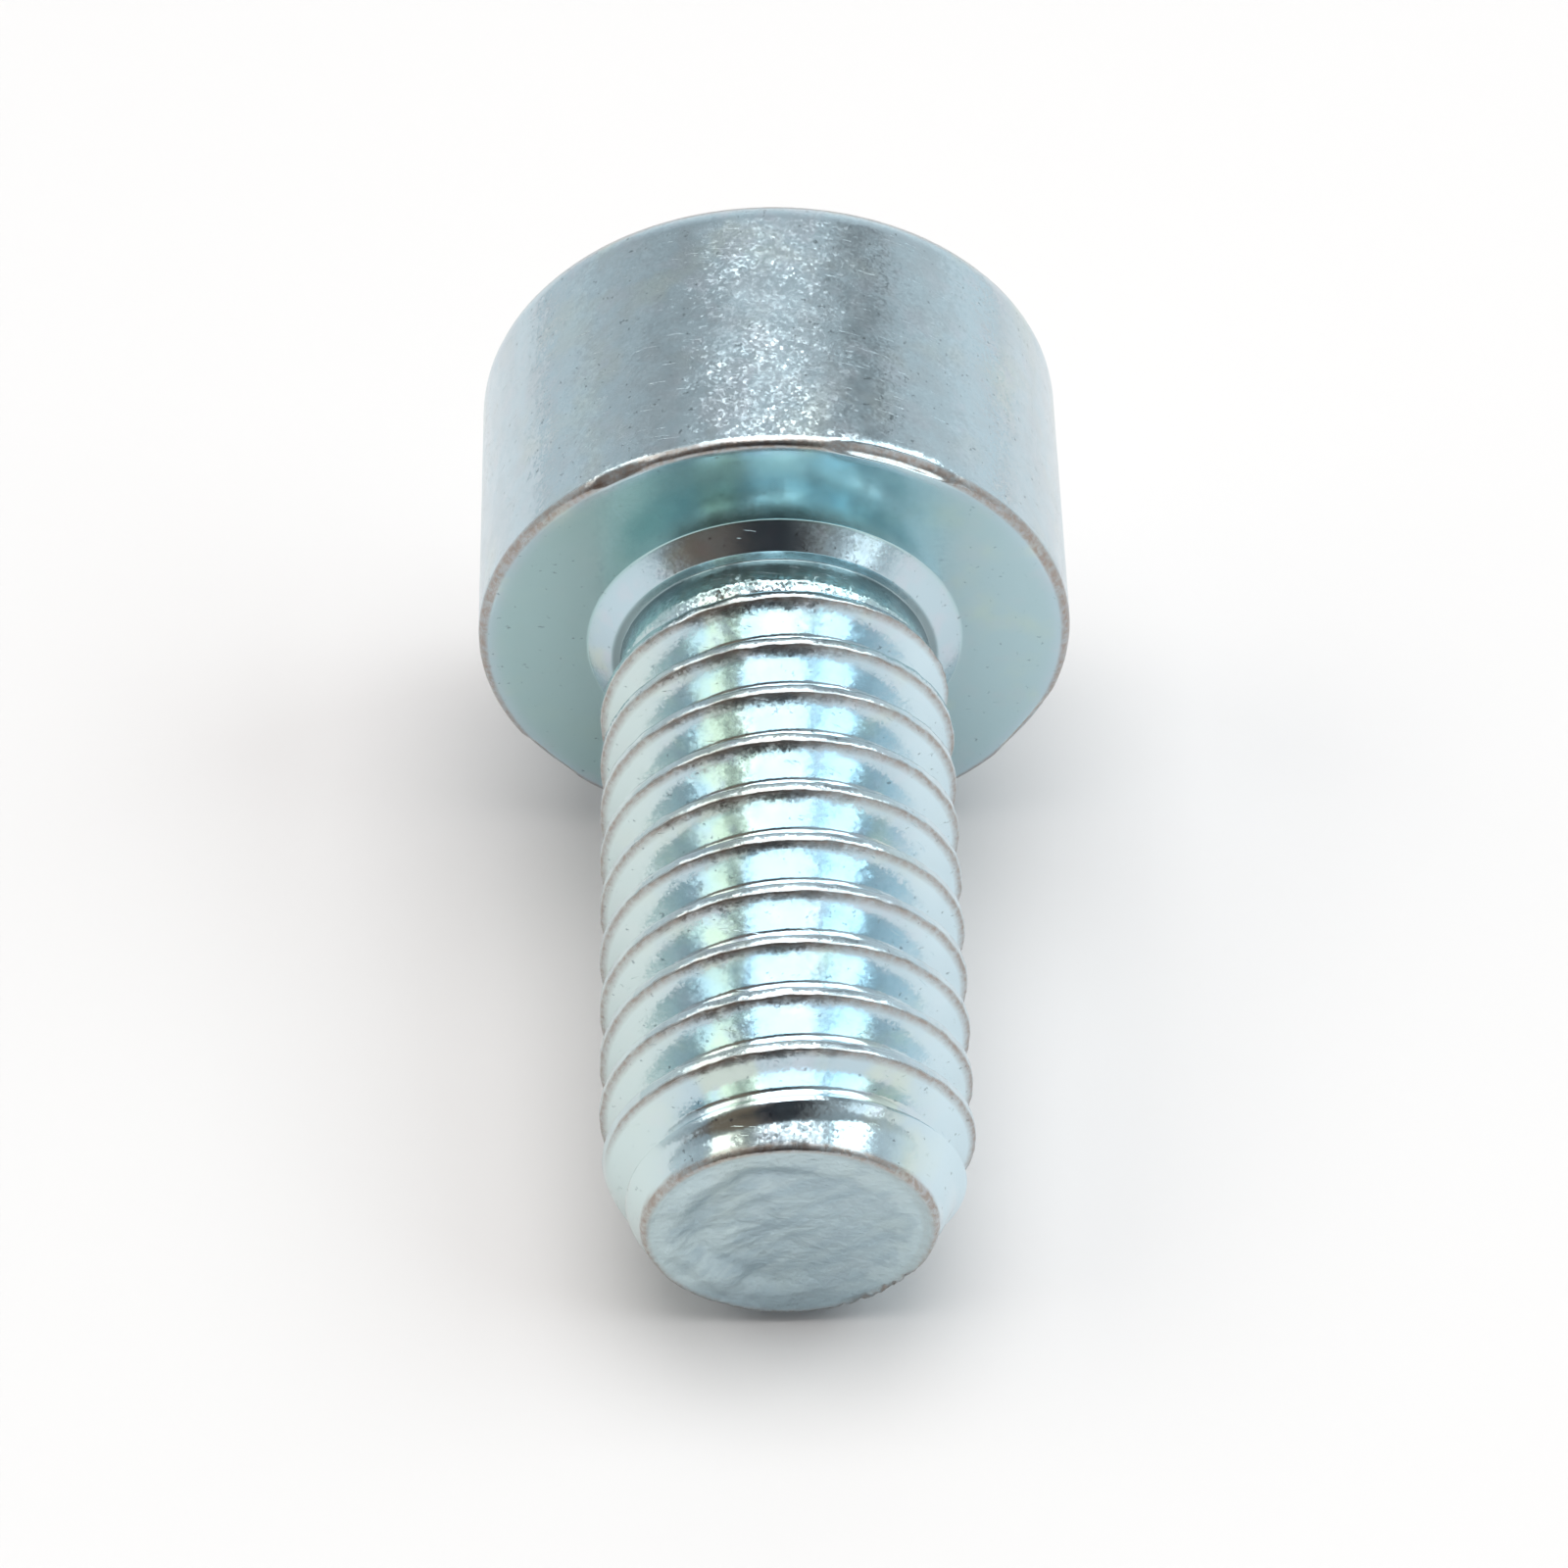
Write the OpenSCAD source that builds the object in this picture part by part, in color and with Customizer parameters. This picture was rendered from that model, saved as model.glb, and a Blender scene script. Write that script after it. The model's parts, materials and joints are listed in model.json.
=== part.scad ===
// Socket head cap screw, M6 thread, 12 mm nominal length, zinc plated.
// It lies as it comes to rest: on the rim under its head and on one thread
// crest near its tip, with the tip towards -Y. Millimetres, +Z up.

/* [Head] */
// Diameter of the smooth head
head_d = 10; // [9.4:0.1:10.6]
// Height of the head above its bearing face
head_h = 5.7; // [5.2:0.1:6.4]
// Radius of the round along the top edge
top_edge_r = 0.55; // [0.2:0.05:0.8]
// Radius of the small round along the rim of the bearing face
rim_edge_r = 0.12; // [0.06:0.01:0.2]

/* [Socket] */
// Width of the hexagon socket across its flats
socket_af = 5; // [4:0.1:5.4]
// Depth of the flats below the top of the head
socket_depth = 3; // [2:0.1:3.2]
// Depth of the shallow cone in the floor of the socket
socket_cone_h = 0.5; // [0.2:0.1:0.8]
// How far the mouth chamfer reaches beyond the corners
socket_mouth = 0.15; // [0.05:0.05:0.3]

/* [Collar] */
// Diameter of the collar where it meets the bearing face
collar_d = 6.33; // [6.1:0.01:6.6]
// Diameter of the collar at its small end
collar_end_d = 5.53; // [5.45:0.01:5.7]
// Height of the collar
collar_h = 0.35; // [0.25:0.05:0.5]
// Radius lost in the step from the collar down to the neck
neck_step = 0.15; // [0.06:0.01:0.2]
// Length of the plain neck between the collar and the thread
neck_len = 0.45; // [0.2:0.05:0.7]

/* [Thread] */
// Outside diameter of the thread, M6 less its allowance
thread_d = 5.9; // [5.7:0.05:6.1]
// Distance from one turn to the next
pitch = 1; // [0.8:0.05:1.25]
// Length of the shank from the bearing face to the end face
shank_len = 11.9; // [8:0.1:16]
// Length over which the thread grows to its full height below the neck
runout_len = 0.5; // [0.4:0.1:1.2]
// Angle about the axis at which a crest crosses the bearing plane
thread_start = 63; // [0:1:359]

/* [Tip] */
// Diameter of the end face, to the sharp corner
tip_d = 4.52; // [4.2:0.02:5]
// Length of the taper behind the end face
tip_len = 1.5; // [1:0.1:2]
// Radius of the round along the edge of the end face
tip_edge_r = 0.06; // [0.03:0.01:0.12]

/* [Hidden] */
$fn = 96;

head_r = head_d / 2;
thread_r = thread_d / 2;
tip_r = tip_d / 2;
neck_r = collar_end_d / 2 - neck_step;
neck_z = -collar_h - 0.05;
neck_end_z = neck_z - neck_len;

// Metric thread section: crest flat, 30 degree flanks and a round root.
crest_w = pitch / 8;
root_arc_r = 0.1443 * pitch;
thread_depth = 0.6134 * pitch;
root_r = thread_r - thread_depth;
root_angles = [-60, -20, 20, 60];
// One turn of the section as [height along the axis, radius], from a crest
// edge through the root to the last point before the next crest edge.
section = concat(
    [[-crest_w / 2, thread_r], [crest_w / 2, thread_r]],
    [for (a = root_angles)
        [pitch / 2 + root_arc_r * sin(a), root_r + root_arc_r * (1 - cos(a))]]
);
section_points = len(section);

// The thread is a ribbon of these columns, wound from below the tip up
// into the head.
turn_steps = 48;
step_angle = 360 / turn_steps;
// Angle about the axis that faces the ground when the screw lies
down_angle = 90;
first_z = -shank_len - 1.1 * pitch;
last_z = -collar_h / 2;
// First column: half a step past the ground side, on the crest line next
// above first_z. This puts a flat of the ribbon, not a corner, on the ground.
first_angle = down_angle + step_angle / 2;
first_crest_z = pitch * (first_angle - thread_start) / 360;
first_turn = floor((first_z - first_crest_z) / pitch);
columns = ceil((last_z - first_z) / pitch * turn_steps) + turn_steps;

// Taper of the tip
taper_slope = (thread_r - tip_r) / tip_len;
taper_angle = atan(taper_slope);
tip_arc_z = -shank_len + tip_edge_r;
tip_arc_x = tip_r - tip_edge_r * (1 - sin(taper_angle)) / cos(taper_angle);
// Radius that clears the crests, for the straight stretch of the limit
clear_r = thread_r + 0.3;

// Lying pose. A point at distance s from the bearing face and radius r
// meets the ground with the rim round at this tilt of the axis.
function tilt_for(s, r) =
    let (a = head_r - rim_edge_r - r, b = s + rim_edge_r)
    acos(-rim_edge_r / norm([a, b])) - atan2(b, a);
down_crest_s = pitch * (thread_start - down_angle) / 360 + crest_w / 2;
crest_turns = [floor(shank_len / pitch) - 3 : floor(shank_len / pitch) + 1];
down_crests = [
    for (n = crest_turns)
        let (s = down_crest_s + n * pitch)
        if (s < shank_len)
            [s, min(thread_r * cos(step_angle / 2), tip_r + taper_slope * (shank_len - s))]
];
lie_tilt = min([for (c = down_crests) tilt_for(c[0], c[1])]);
lie_z = (head_r - rim_edge_r) * cos(lie_tilt) - rim_edge_r * sin(lie_tilt) + rim_edge_r;
head_end_y = (head_h - top_edge_r) * cos(lie_tilt) + (head_r - top_edge_r) * sin(lie_tilt)
    + top_edge_r;
tip_end_y = tip_arc_z * cos(lie_tilt) - tip_arc_x * sin(lie_tilt) - tip_edge_r;
lie_y = -(head_end_y + tip_end_y) / 2;

// Half outline of the head, collar and neck, to be turned about the axis.
// Past its plain length the neck narrows to below the root of the thread, which
// fades the grooves out.
module head_outline() {
    square([head_r - rim_edge_r, head_h / 2]);
    translate([0, rim_edge_r])
        square([head_r, head_h - rim_edge_r - top_edge_r]);
    translate([0, head_h / 2])
        square([head_r - top_edge_r, head_h / 2]);
    translate([head_r - rim_edge_r, rim_edge_r])
        circle(rim_edge_r);
    translate([head_r - top_edge_r, head_h - top_edge_r])
        circle(top_edge_r);
    polygon([
        [0, rim_edge_r],
        [collar_d / 2, rim_edge_r],
        [collar_d / 2, 0],
        [collar_end_d / 2, -collar_h],
        [neck_r, neck_z],
        [neck_r, neck_end_z],
        [root_r - 0.05, neck_end_z - 1.4 * runout_len],
        [0, neck_end_z - 1.4 * runout_len]
    ]);
}

// Hexagon recess with a chamfered mouth and a shallow cone in its floor
module socket() {
    corner_r = socket_af / 2 / cos(30);
    mouth_r = corner_r + socket_mouth;
    translate([0, 0, head_h - socket_depth])
        cylinder(r = corner_r, h = socket_depth + 1, $fn = 6);
    translate([0, 0, head_h - socket_depth - socket_cone_h])
        cylinder(r1 = 0, r2 = socket_af / 2, h = socket_cone_h);
    translate([0, 0, head_h - mouth_r / 2])
        cylinder(r1 = 0, r2 = mouth_r * 2, h = mouth_r);
}

// Half outline that limits the thread: it lets the crests rise from the neck,
// and cuts the tip to its taper and rounded end edge.
module thread_limit_outline() {
    low_r = neck_r - 0.04;
    rise = (thread_r - low_r) / runout_len;
    rise_len = (clear_r - low_r) / rise;
    fall_len = (clear_r - tip_r) / taper_slope;
    polygon([
        [0, head_h / 4],
        [low_r, head_h / 4],
        [low_r, neck_end_z],
        [clear_r, neck_end_z - rise_len],
        [clear_r, -shank_len + fall_len],
        [tip_arc_x + tip_edge_r * cos(taper_angle), tip_arc_z - tip_edge_r * sin(taper_angle)],
        [tip_arc_x, -shank_len],
        [0, -shank_len]
    ]);
    translate([tip_arc_x, tip_arc_z])
        circle(tip_edge_r);
}

// Right-hand thread ribbon: each column is one turn of the section, each
// column stands one step further round and higher, and a column's last point
// is the first point of the column one turn later.
module thread_ribbon() {
    points = [
        for (k = [0 : columns + turn_steps - 1])
            for (q = section)
                let (a = first_angle + k * step_angle)
                let (z = first_crest_z + (first_turn + k / turn_steps) * pitch + q[0])
                [q[1] * cos(a), q[1] * sin(a), z]
    ];
    low_centre = len(points);
    high_centre = low_centre + 1;
    centres = [
        [0, 0, points[0][2]],
        [0, 0, points[len(points) - 1][2]]
    ];
    function at(k, j) =
        j < section_points ? k * section_points + j : (k + turn_steps) * section_points;
    sides = [
        for (k = [0 : columns - 2])
            for (j = [0 : section_points - 1])
                for (t = [0, 1])
                    t == 0
                        ? [at(k, j), at(k, j + 1), at(k + 1, j)]
                        : [at(k + 1, j), at(k, j + 1), at(k + 1, j + 1)]
    ];
    low_fan = [for (k = [0 : turn_steps - 1]) [low_centre, at(k, 0), at(k + 1, 0)]];
    low_step = [for (j = [0 : section_points - 1]) [low_centre, at(0, j + 1), at(0, j)]];
    last = columns - 1;
    high_fan = [
        for (k = [last : last + turn_steps - 1])
            [high_centre, at(k + 1, 0), at(k, 0)]
    ];
    high_step = [for (j = [0 : section_points - 1]) [high_centre, at(last, j), at(last, j + 1)]];
    polyhedron(
        points = concat(points, centres),
        faces = concat(sides, low_fan, low_step, high_fan, high_step)
    );
}

// The whole screw, upright: bearing face in the plane z = 0, tip down
module upright_screw() {
    difference() {
        rotate_extrude()
            head_outline();
        socket();
    }
    intersection() {
        thread_ribbon();
        rotate_extrude()
            thread_limit_outline();
    }
}

module screw() {
    color([0.72, 0.78, 0.79])
        translate([0, lie_y, lie_z])
            rotate([lie_tilt - 90, 0, 0])
                upright_screw();
}

screw();
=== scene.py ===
# %% [markdown]
# # A zinc-plated cap screw, lying on a white table
#
# The real object is one piece of steel: a smooth round head with a hexagon
# socket, a short neck, and a shank with a rolled M6 thread down to a tapered
# tip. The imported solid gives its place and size. Here the same form is made
# again as one closed mesh, fine enough for its reflections, with the small
# marks that tumbling and plating leave on it.

# %% Load the frame
import json
import math
import random

import bmesh
import bpy
from mathutils import Matrix, Vector, noise


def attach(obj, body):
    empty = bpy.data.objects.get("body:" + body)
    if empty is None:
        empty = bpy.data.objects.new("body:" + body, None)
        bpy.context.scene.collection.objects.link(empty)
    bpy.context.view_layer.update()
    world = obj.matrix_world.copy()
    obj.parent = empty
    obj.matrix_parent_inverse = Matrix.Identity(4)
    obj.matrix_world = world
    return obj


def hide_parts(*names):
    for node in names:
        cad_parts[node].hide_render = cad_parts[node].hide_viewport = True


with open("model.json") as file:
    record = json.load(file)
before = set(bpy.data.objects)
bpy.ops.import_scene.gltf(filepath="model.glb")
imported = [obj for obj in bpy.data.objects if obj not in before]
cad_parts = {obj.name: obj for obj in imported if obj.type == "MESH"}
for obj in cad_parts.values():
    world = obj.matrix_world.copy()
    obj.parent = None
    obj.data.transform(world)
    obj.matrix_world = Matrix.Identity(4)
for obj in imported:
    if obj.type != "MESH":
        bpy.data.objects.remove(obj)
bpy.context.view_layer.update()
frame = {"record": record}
mounts = {mount["name"]: mount for mount in frame["record"]["mounts"]}

# %% [markdown]
# ## Where the screw lies
#
# It is easier to model a screw upright: bearing face in the plane z = 0, tip
# down, in millimetres. The frame says where it lies: the thread's axis gives
# the tilt, and the bearing face gives the middle of the head's underside. One
# matrix then takes the finished upright mesh to its place in metres.

# %% From the upright screw to its place
MM = 0.001
tip_direction = Vector(mounts["thread"]["axis"])
lie_tilt = math.asin(-tip_direction.z)
bearing_centre = Vector(mounts["bearing_face"]["pos_m"])
bearing_centre.x = 0.0
lay_down = (
    Matrix.Translation(bearing_centre)
    @ Matrix.Rotation(lie_tilt - math.pi / 2, 4, "X")
    @ Matrix.Scale(MM, 4)
)
print("Tilt of the axis:", round(math.degrees(lie_tilt), 2), "degrees")

# %% [markdown]
# ## The camera
#
# The photo was taken from the tip's side, about 40 degrees above the table,
# close up with a long lens. A camera is set by three unit vectors, right, down
# and forward, and by where the middle of the bearing face appears from it.

# %% Camera
CAMERA_ELEVATION = math.radians(39.83)
CAMERA_YAW = math.radians(-1.245)
CAMERA_LENS = 112.07
# Place of the bearing centre seen from the camera: right, down, forward, in mm
BEARING_FROM_CAMERA = (-0.158, -2.370, 82.52)

right = Vector((math.cos(CAMERA_YAW), math.sin(CAMERA_YAW), 0.0))
forward = Vector((
    -math.sin(CAMERA_YAW) * math.cos(CAMERA_ELEVATION),
    math.cos(CAMERA_YAW) * math.cos(CAMERA_ELEVATION),
    -math.sin(CAMERA_ELEVATION),
))
down = forward.cross(right)
offset = sum(
    (axis * distance for axis, distance in zip((right, down, forward), BEARING_FROM_CAMERA)),
    Vector(),
)
camera = bpy.data.objects.new("camera", bpy.data.cameras.new("camera"))
bpy.context.scene.collection.objects.link(camera)
turn = Matrix((right, -down, -forward)).transposed().to_4x4()
camera.matrix_world = Matrix.Translation(bearing_centre - offset * MM) @ turn
camera.data.lens = CAMERA_LENS
camera.data.sensor_width = 36.0
camera.data.clip_start = 0.001
bpy.context.scene.camera = camera
print("Camera at, in mm:", [round(c / MM, 1) for c in camera.location])

# %% [markdown]
# ## Driving dimensions
#
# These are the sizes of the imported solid, in millimetres. Everything else is
# worked out from them.

# %% Sizes of the screw
HEAD_R = 5.0
HEAD_H = 5.7
TOP_EDGE_R = 0.55
RIM_EDGE_R = 0.12
SOCKET_AF = 5.0
SOCKET_DEPTH = 3.0
SOCKET_CONE_H = 0.5
SOCKET_MOUTH = 0.15
COLLAR_R = 3.165
COLLAR_END_R = 2.765
COLLAR_H = 0.35
NECK_STEP = 0.15
NECK_LEN = 0.45
THREAD_R = 2.95
PITCH = 1.0
SHANK_LEN = 11.9
RUNOUT_LEN = 0.5
THREAD_START = math.radians(63)
TIP_R = 2.26
TIP_LEN = 1.5

NECK_R = COLLAR_END_R - NECK_STEP
NECK_Z = -COLLAR_H - 0.05
NECK_END_Z = NECK_Z - NECK_LEN
ROOT_ARC_R = 0.1443 * PITCH
ROOT_R = THREAD_R - 0.6134 * PITCH
TAPER_SLOPE = (THREAD_R - TIP_R) / TIP_LEN
print("Root diameter:", round(2 * ROOT_R, 3), "mm")

# %% [markdown]
# ## The thread
#
# A thread is a section carried round the axis while it climbs. Blender's spin
# does this when it is given a small lift for each step. The section here runs
# over the whole shank: crest, flank, round root, flank, over and over. After
# one full turn the last column lies on the first one, shifted by one pitch, so
# merging the doubles closes the sheet.

# %% Section of one pitch
CREST_HALF = 0.075
CREST_EDGE_R = 0.06
FLANK_POINTS = 3


def arc(centre_along, centre_r, radius, degrees):
    """Points on an arc, as (height along the axis, distance from the axis)."""
    return [
        (centre_along + radius * math.cos(math.radians(d)),
         centre_r + radius * math.sin(math.radians(d)))
        for d in degrees
    ]


def thread_section():
    """One pitch from a crest's middle to the point before the next one."""
    corner = CREST_HALF - CREST_EDGE_R * math.tan(math.radians(30))
    crest = arc(corner, THREAD_R - CREST_EDGE_R, CREST_EDGE_R, (90, 70, 50, 30))
    flank_foot = PITCH / 2 - ROOT_ARC_R * math.cos(math.radians(30))
    flank_depth = (flank_foot - CREST_HALF) / math.tan(math.radians(30))
    root_centre = THREAD_R - flank_depth + ROOT_ARC_R * math.sin(math.radians(30))
    root = arc(PITCH / 2, root_centre, ROOT_ARC_R, (210, 230, 250, 270))
    top, foot = Vector(crest[-1]), Vector(root[0])
    flank = [tuple(top.lerp(foot, i / (FLANK_POINTS + 1))) for i in range(1, FLANK_POINTS + 1)]
    half = [(0.0, THREAD_R), *crest, *flank, *root]
    other_half = [(PITCH - along, r) for along, r in reversed(half[1:-1])]
    return half + other_half


section = thread_section()
print("Points in one pitch of the section:", len(section))

# %% Spin the thread
TURN_STEPS = 168
first_turn = -math.ceil(SHANK_LEN / PITCH) - 2
last_turn = 1

screw = bmesh.new()
column = [
    screw.verts.new((r, 0.0, turn * PITCH + along))
    for turn in range(first_turn, last_turn)
    for along, r in section
]
for low, high in zip(column, column[1:]):
    screw.edges.new((low, high))
bmesh.ops.rotate(
    screw, verts=screw.verts, cent=(0, 0, 0), matrix=Matrix.Rotation(THREAD_START, 3, "Z")
)
bmesh.ops.spin(
    screw,
    geom=screw.verts[:] + screw.edges[:],
    cent=(0, 0, 0),
    axis=(0, 0, 1),
    dvec=(0, 0, PITCH / TURN_STEPS),
    angle=2 * math.pi,
    steps=TURN_STEPS,
    use_merge=False,
)
bmesh.ops.remove_doubles(screw, verts=screw.verts, dist=0.0005)
print("Thread sheet:", len(screw.verts), "points,", len(screw.faces), "faces")

# %% [markdown]
# ## Run-out and taper
#
# Near the neck a rolled thread fades: its crests have not filled yet and its
# grooves are shallow. At the tip the crests follow a taper. Both are limits on
# the distance from the axis, so each point is moved along its radius. The
# limits are blended softly, because rolled metal flows and has no crisp edge
# there.

# %% Limit the thread
RUNOUT_BLEND = 0.06
TAPER_BLEND = 0.08
# The last ridge stands up to this distance from the bearing face, seen from
# above, and falls to the cone over the length after it
LAST_RIDGE_END = 11.28
LAST_RIDGE_H = 0.10
LAST_RIDGE_FALL = 0.22
# Ends between which the ridge loses its height, and turns in which it begins
LAST_RIDGE_FADE = (11.74, 11.34)
LAST_RIDGE_BEGIN = (0.5, 0.3)
# The crests start this far below the neck's surface. The neck's fill ends this
# far below the roots, after this length.
CREST_START_DEPTH = 0.04
FILL_END_DEPTH = 0.05
FILL_LEN = 1.4 * RUNOUT_LEN


def soft_min(a, b, blend):
    overlap = max(blend - abs(a - b), 0.0) / blend
    return min(a, b) - overlap * overlap * blend / 4


def soft_max(a, b, blend):
    return -soft_min(-a, -b, blend)


def smooth_step(low, high, value):
    share = max(0.0, min(1.0, (value - low) / (high - low)))
    return share * share * (3 - 2 * share)


def turn_from_top(x, y):
    """Turns from the side that lies on top, -0.5 to 0.5, growing towards +X."""
    return (math.atan2(y, x) / (2 * math.pi) + 0.25 + 0.5) % 1.0 - 0.5


def tip_limit(z, turn):
    """Radius of the tip: a cone, on which the last ridge stands until it fades."""
    cone = TIP_R + TAPER_SLOPE * (SHANK_LEN + z)
    ridge_end = LAST_RIDGE_END - turn * PITCH
    height = LAST_RIDGE_H * smooth_step(*LAST_RIDGE_FADE, ridge_end)
    height *= smooth_step(*LAST_RIDGE_BEGIN, turn)
    left = max(0.0, min(1.0, (ridge_end + LAST_RIDGE_FALL + z) / LAST_RIDGE_FALL))
    return cone + height * left * left


def thread_limit(r, z, turn):
    """Radius of a thread point after the run-out and the taper."""
    below_neck = NECK_END_Z - z
    crest_start = NECK_R - CREST_START_DEPTH
    rise = crest_start + below_neck * (THREAD_R - crest_start) / RUNOUT_LEN
    fill = NECK_R - below_neck * (NECK_R - ROOT_R + FILL_END_DEPTH) / FILL_LEN
    r = soft_max(soft_min(r, rise, RUNOUT_BLEND), fill, RUNOUT_BLEND)
    return soft_min(r, tip_limit(z, turn), TAPER_BLEND)


def set_radius(vert, r):
    """Moves a point along its radius."""
    scale = r / math.hypot(vert.co.x, vert.co.y)
    vert.co.x *= scale
    vert.co.y *= scale


for vert in screw.verts:
    across = math.hypot(vert.co.x, vert.co.y)
    turn = turn_from_top(vert.co.x, vert.co.y)
    set_radius(vert, thread_limit(across, vert.co.z, turn))
print("Radius at the tip:", round(tip_limit(-SHANK_LEN, 0.0), 2), "mm")

# %% Cut the two ends square
NECK_CUT = NECK_END_Z - 0.03
TIP_ROUND = 0.09
TIP_CUT = -SHANK_LEN + TIP_ROUND


def cut_away(bm, z, normal_z):
    """Cuts the mesh in the plane at this height and drops the normal's side."""
    bmesh.ops.bisect_plane(
        bm,
        geom=bm.verts[:] + bm.edges[:] + bm.faces[:],
        dist=0.002,
        plane_co=(0, 0, z),
        plane_no=(0, 0, normal_z),
        clear_outer=True,
    )


def open_edges(bm, z, reach=0.004):
    """Open edges of the mesh that lie at this height."""
    return [
        edge for edge in bm.edges
        if edge.is_boundary and all(abs(vert.co.z - z) < reach for vert in edge.verts)
    ]


cut_away(screw, NECK_CUT, 1)
cut_away(screw, TIP_CUT, -1)
print("Open edges at neck and tip:",
      len(open_edges(screw, NECK_CUT)), len(open_edges(screw, TIP_CUT)))

# %% [markdown]
# ## The end face
#
# The wire was sheared off, so the end is flat with a small round edge. The open
# edge at the tip is extruded ring by ring: first round the edge, then inwards
# over the face to a small ring, which is filled. Many rings are needed, because
# the marks of the shear are modelled on them later.

# %% Round the edge and close the end
END_RINGS = 34
taper_angle = math.degrees(math.atan(TAPER_SLOPE))
end_arc_r = TIP_R - TIP_ROUND * (
    (1 - math.sin(math.radians(taper_angle))) / math.cos(math.radians(taper_angle))
)
edge_degrees = [taper_angle + (90 - taper_angle) * i / 5 for i in range(1, 6)]
end_rings = [
    (end_arc_r + TIP_ROUND * math.cos(math.radians(d)),
     TIP_CUT - TIP_ROUND * math.sin(math.radians(d)))
    for d in edge_degrees
]
end_rings += [
    (end_arc_r * (1 - i / END_RINGS), -SHANK_LEN)
    for i in range(1, END_RINGS)
]


def extrude_ring(bm, edges, place):
    """Extrudes an open ring and moves each new point where place(x, y) says."""
    made = bmesh.ops.extrude_edge_only(bm, edges=edges)["geom"]
    for vert in (item for item in made if isinstance(item, bmesh.types.BMVert)):
        vert.co = place(vert.co)
    return [item for item in made if isinstance(item, bmesh.types.BMEdge)]


def circle_place(scale, z):
    return lambda co: Vector((co.x * scale, co.y * scale, z))


ring = open_edges(screw, TIP_CUT)
ring_r = sum(math.hypot(*edge.verts[0].co.xy) for edge in ring) / len(ring)
for r, z in end_rings:
    ring = extrude_ring(screw, ring, circle_place(r / ring_r, z))
    ring_r = r
middle = bmesh.ops.contextual_create(screw, geom=ring)["faces"]
bmesh.ops.poke(screw, faces=middle)
print("End face closed; faces so far:", len(screw.faces))

# %% [markdown]
# ## The head
#
# The head is turned, so its outline is spun once round the axis. The outline is
# a list of corners, each with the radius of its edge. A helper swaps each
# corner for an arc and splits the long stretches, so that dents and soft
# shading have points to work with.

# %% Outline of neck, collar and head
mouth_r = SOCKET_AF / 2 / math.cos(math.radians(30)) + SOCKET_MOUTH
# Tumbling has rounded the rim further than the press left it
RIM_ROUND = 0.17
# Corners as (distance from the axis, height, edge radius)
head_corners = [
    (NECK_R, NECK_END_Z, 0.0),
    (NECK_R, NECK_Z, 0.03),
    (COLLAR_END_R, -COLLAR_H, 0.035),
    (COLLAR_R, 0.0, 0.06),
    (HEAD_R, 0.0, RIM_ROUND),
    (HEAD_R, HEAD_H, TOP_EDGE_R),
    (mouth_r + 0.05, HEAD_H, 0.0),
    (mouth_r, HEAD_H - 0.012, 0.0),
]
LONGEST_STRETCH = 0.16
SUPPORT = 0.03


def rounded_corner(before, corner, after, radius, steps=7):
    """Arc that replaces a corner between two straight stretches."""
    back = (before - corner).normalized()
    ahead = (after - corner).normalized()
    half_angle = math.acos(max(-1, min(1, back.dot(ahead)))) / 2
    reach = radius / math.tan(half_angle)
    centre = corner + (back + ahead).normalized() * radius / math.sin(half_angle)
    start = corner + back * reach - centre
    end = corner + ahead * reach - centre
    sweep = start.angle_signed(end)
    return [
        centre + Matrix.Rotation(-sweep * i / steps, 2) @ start
        for i in range(steps + 1)
    ]


def split_stretch(start, end):
    """Points inside a straight stretch, with one close to each end."""
    length = (end - start).length
    if length < 3 * SUPPORT:
        return []
    parts = max(1, math.ceil((length - 2 * SUPPORT) / LONGEST_STRETCH))
    inner = [SUPPORT + (length - 2 * SUPPORT) * i / parts for i in range(parts + 1)]
    return [start.lerp(end, distance / length) for distance in inner]


def rounded_outline(corners):
    """Outline points from corners with edge radii."""
    places = [Vector(corner[:2]) for corner in corners]
    outline = [places[0]]
    for i, (*_, radius) in enumerate(corners[1:], start=1):
        if radius:
            bend = rounded_corner(places[i - 1], places[i], places[i + 1], radius)
        else:
            bend = [places[i]]
        outline += split_stretch(outline[-1], bend[0]) + bend
    return outline


head_outline = rounded_outline(head_corners)
print("Points in the head's outline:", len(head_outline))

# %% Spin the head
HEAD_STEPS = 240
head_points = [screw.verts.new((point.x, 0.0, point.y)) for point in head_outline]
head_lines = [screw.edges.new(pair) for pair in zip(head_points, head_points[1:])]
bmesh.ops.spin(
    screw,
    geom=head_points + head_lines,
    cent=(0, 0, 0),
    axis=(0, 0, 1),
    angle=2 * math.pi,
    steps=HEAD_STEPS,
    use_merge=True,
)
print("Faces with the head:", len(screw.faces))

# %% [markdown]
# ## The hexagon socket
#
# The socket is pressed into the top of the head, and its mouth is chamfered.
# The open ring at the mouth is extruded down the chamfer onto the hexagon, then
# down the flats, and over the floor to its middle. The spin's points fall on the
# hexagon's corners, because their number is a multiple of six.

# %% Extrude the socket
WALL_ROWS = 8
FLOOR_RINGS = 6
floor_z = HEAD_H - SOCKET_DEPTH


def hexagon_r(co):
    """Distance from the axis to the hexagon in the direction of a point."""
    angle = math.atan2(co.y, co.x) % (math.pi / 3) - math.pi / 6
    return SOCKET_AF / 2 / math.cos(angle)


def hexagon_place(z=None, widen=0.0):
    """Puts a point on the hexagon, at a height or down the mouth chamfer."""
    def place(co):
        r = hexagon_r(co) + widen
        flat = Vector((co.x, co.y)).normalized() * r
        height = HEAD_H - (mouth_r - r) / 2 if z is None else z
        return Vector((flat.x, flat.y, height))
    return place


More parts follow.
